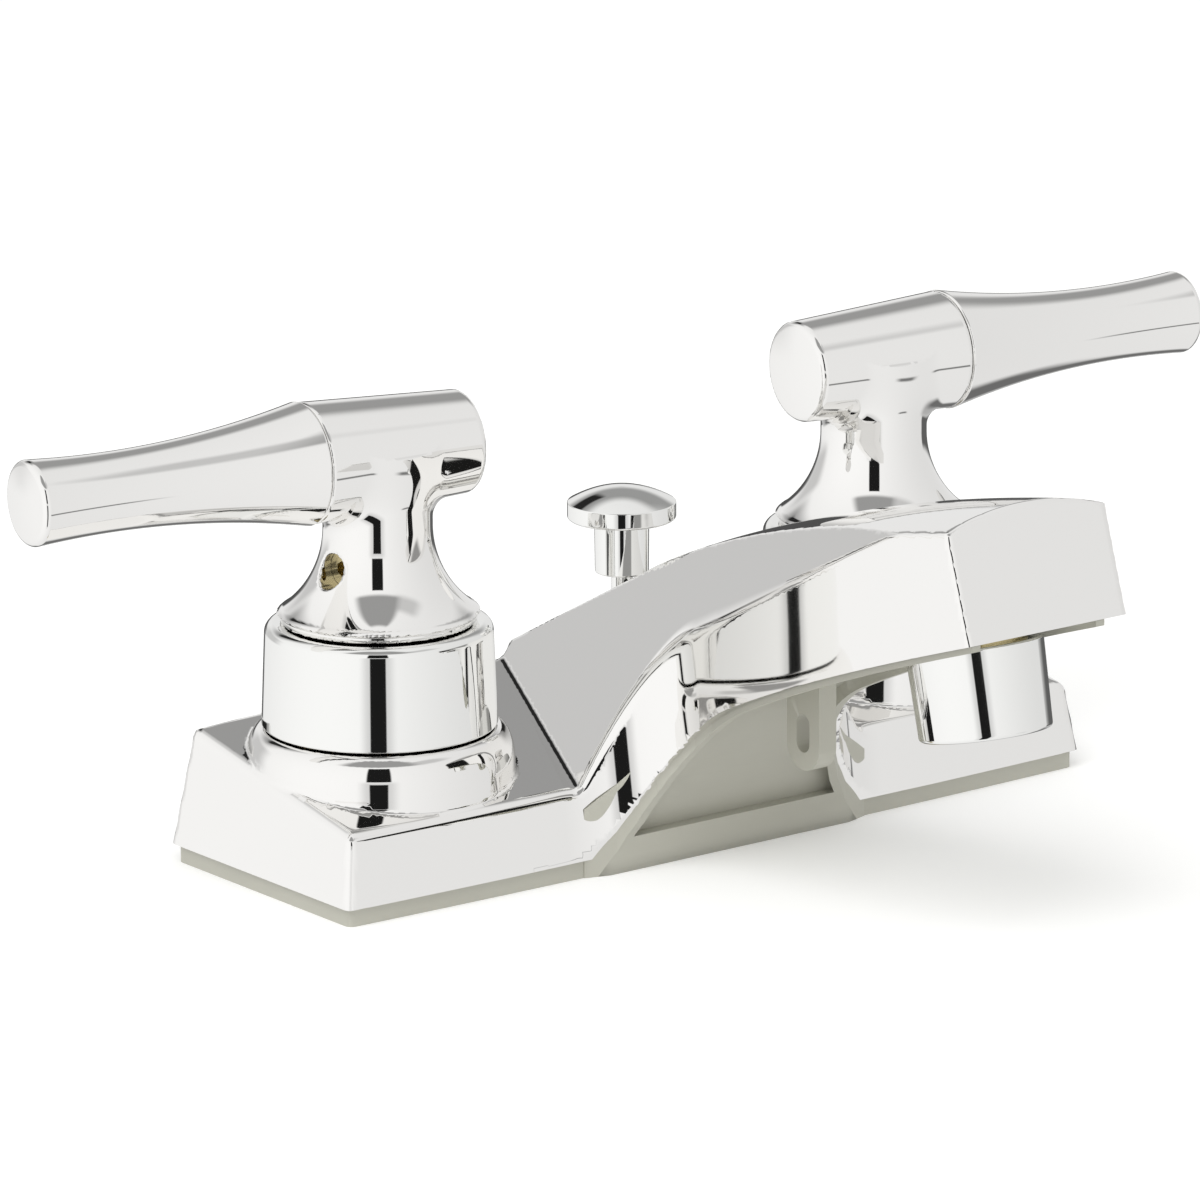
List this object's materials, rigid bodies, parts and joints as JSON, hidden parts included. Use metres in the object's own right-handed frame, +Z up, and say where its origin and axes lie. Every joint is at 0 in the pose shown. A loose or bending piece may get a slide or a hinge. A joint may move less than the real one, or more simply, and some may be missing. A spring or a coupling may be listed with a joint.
{
  "type": "centerset bathroom faucet",
  "caption": "Chrome centerset bathroom faucet: T-shaped lever handles on a one-piece base and spout, grey moulded underbody, tilted aerator and pop-up lift rod.",
  "frame": {"origin": "on the deck plane under the base, midway between the two threaded shanks", "axes": "+X to the viewer's right, from the hot to the cold handle; -Y to the front, along the spout; +Z up"},
  "size_m": [0.2277, 0.1327, 0.1887],
  "materials": {
    "chrome_cover": "bright chrome plate on moulded ABS",
    "chrome_trim": "bright chrome plate",
    "chrome_handle": "bright chrome plate on die-cast zinc",
    "grey_moulding": "fine matt, moulded",
    "white_plastic": "moulded acetal",
    "ceramic": "lapped alumina",
    "black_rubber": "matt",
    "brass": "turned, unplated",
    "copper": "drawn copper tube",
    "zinc_steel": "zinc-plated steel"
  },
  "bodies": {
    "body": {"body_cover": "chrome_cover", "underbody": "grey_moulding", "cover_screws": "zinc_steel", "left_valve_body": "brass", "left_seat_seal": "black_rubber", "left_fixed_disc": "ceramic", "left_cartridge": "white_plastic", "left_o_ring": "black_rubber", "left_bonnet_nut": "brass", "left_bell": "chrome_trim", "left_deck_washer": "zinc_steel", "left_deck_nut": "brass", "right_valve_body": "brass", "right_seat_seal": "black_rubber", "right_fixed_disc": "ceramic", "right_cartridge": "white_plastic", "right_o_ring": "black_rubber", "right_bonnet_nut": "brass", "right_bell": "chrome_trim", "right_deck_washer": "zinc_steel", "right_deck_nut": "brass", "waterway": "copper", "outlet_nipple": "brass", "aerator_washer": "black_rubber", "aerator_insert": "white_plastic", "aerator_shell": "chrome_trim", "rod_guide": "white_plastic"},
    "left_handle": {"left_turning_disc": "ceramic", "left_stem": "brass", "left_hub": "chrome_handle", "left_lever": "chrome_handle", "left_set_screw": "brass"},
    "right_handle": {"right_turning_disc": "ceramic", "right_stem": "brass", "right_hub": "chrome_handle", "right_lever": "chrome_handle", "right_set_screw": "brass"},
    "pop_up_rod": {"lift_rod": "chrome_trim", "lift_knob": "chrome_trim"}
  },
  "joints": [
    {"name": "left_handle_turn", "type": "hinge", "parent": "body", "child": "left_handle", "pos_m": [-0.0508, 0, 0.0508], "axis": [0, 0, 1], "range_deg": [0, 90]},
    {"name": "right_handle_turn", "type": "hinge", "parent": "body", "child": "right_handle", "pos_m": [0.0508, 0, 0.0508], "axis": [0, 0, -1], "range_deg": [0, 90]},
    {"name": "lift_rod_slide", "type": "slide", "parent": "body", "child": "pop_up_rod", "axis": [0, 0, 1], "range_m": [0, 0.025]}
  ]
}
